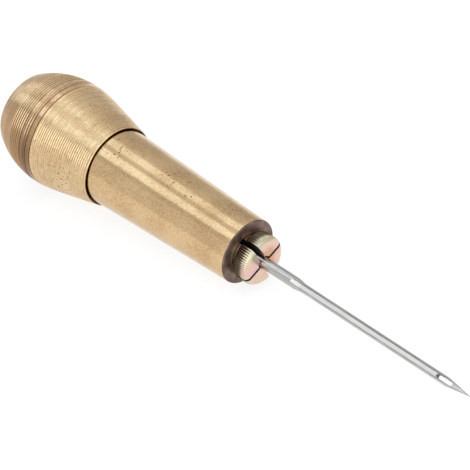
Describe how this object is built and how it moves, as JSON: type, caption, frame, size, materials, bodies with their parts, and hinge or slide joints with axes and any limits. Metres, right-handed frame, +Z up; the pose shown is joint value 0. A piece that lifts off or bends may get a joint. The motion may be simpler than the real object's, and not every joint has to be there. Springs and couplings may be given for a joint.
{
  "type": "scratch awl",
  "caption": "Scratch awl: hollow turned brass handle with a screw-off end cap, split collet chuck and a grooved steel needle with an eye.",
  "frame": {"origin": "centre of the flat butt face of the end cap", "axes": "+X along the tool's axis towards the needle's point; +Z up as the tool lies on a bench; +Y across it"},
  "size_m": [0.1408, 0.027, 0.027],
  "materials": {
    "tube_brass": "turned, drawn along its length, lightly tarnished",
    "bulb_brass": "turned, with fine ring-shaped tool marks",
    "thread_brass": "turned thread, bright",
    "chuck_zinc": "yellow-passivated zinc plate, iridescent pink and green",
    "needle_steel": "ground steel"
  },
  "bodies": {
    "handle": {"front_tube": "tube_brass", "bulb_sleeve": "bulb_brass"},
    "cap_screw": {"cap_spigot": "thread_brass"},
    "cap": {"end_cap": "bulb_brass"},
    "chuck_screw": {"chuck_tail": "chuck_zinc"},
    "chuck": {"chuck_neck": "chuck_zinc"},
    "jaw_one": {"jaw_1": "chuck_zinc"},
    "jaw_two": {"jaw_2": "chuck_zinc"},
    "jaw_three": {"jaw_3": "chuck_zinc"},
    "jaw_four": {"jaw_4": "chuck_zinc"},
    "needle": {"needle": "needle_steel"}
  },
  "joints": [
    {"name": "cap_travel", "type": "slide", "parent": "handle", "child": "cap_screw", "axis": [-1, 0, 0], "range_m": [0, 0.0063]},
    {"name": "cap_turn", "type": "hinge", "parent": "cap_screw", "child": "cap", "pos_m": [0, 0, 0], "axis": [-1, 0, 0], "range_deg": [0, 1800]},
    {"name": "chuck_travel", "type": "slide", "parent": "handle", "child": "chuck_screw", "axis": [1, 0, 0], "range_m": [0, 0.00505]},
    {"name": "chuck_turn", "type": "hinge", "parent": "chuck_screw", "child": "chuck", "pos_m": [0.0665, 0, 0], "axis": [1, 0, 0], "range_deg": [0, 1440]},
    {"name": "needle_slide", "type": "slide", "parent": "chuck", "child": "needle", "axis": [1, 0, 0], "range_m": [-0.008, 0.022]},
    {"name": "jaw_one_flex", "type": "hinge", "parent": "chuck", "child": "jaw_one", "pos_m": [0.0665, 0.0008, 0.00226], "axis": [0, -0.9432, 0.3322], "range_deg": [0, 1.55]},
    {"name": "jaw_two_flex", "type": "hinge", "parent": "chuck", "child": "jaw_two", "pos_m": [0.0665, -0.00226, 0.0008], "axis": [0, -0.3322, -0.9432], "range_deg": [0, 1.55]},
    {"name": "jaw_three_flex", "type": "hinge", "parent": "chuck", "child": "jaw_three", "pos_m": [0.0665, -0.0008, -0.00226], "axis": [0, 0.9432, -0.3322], "range_deg": [0, 1.55]},
    {"name": "jaw_four_flex", "type": "hinge", "parent": "chuck", "child": "jaw_four", "pos_m": [0.0665, 0.00226, -0.0008], "axis": [0, 0.3322, 0.9432], "range_deg": [0, 1.55]}
  ],
  "couplings": [
    {"joint": "cap_travel", "follows": "cap_turn", "m_per_rad": 0.00019894},
    {"joint": "chuck_travel", "follows": "chuck_turn", "m_per_rad": 0.00019894},
    {"joint": "jaw_one_flex", "follows": "chuck_turn", "ratio": 0.0010417},
    {"joint": "jaw_two_flex", "follows": "chuck_turn", "ratio": 0.0010417},
    {"joint": "jaw_three_flex", "follows": "chuck_turn", "ratio": 0.0010417},
    {"joint": "jaw_four_flex", "follows": "chuck_turn", "ratio": 0.0010417}
  ]
}
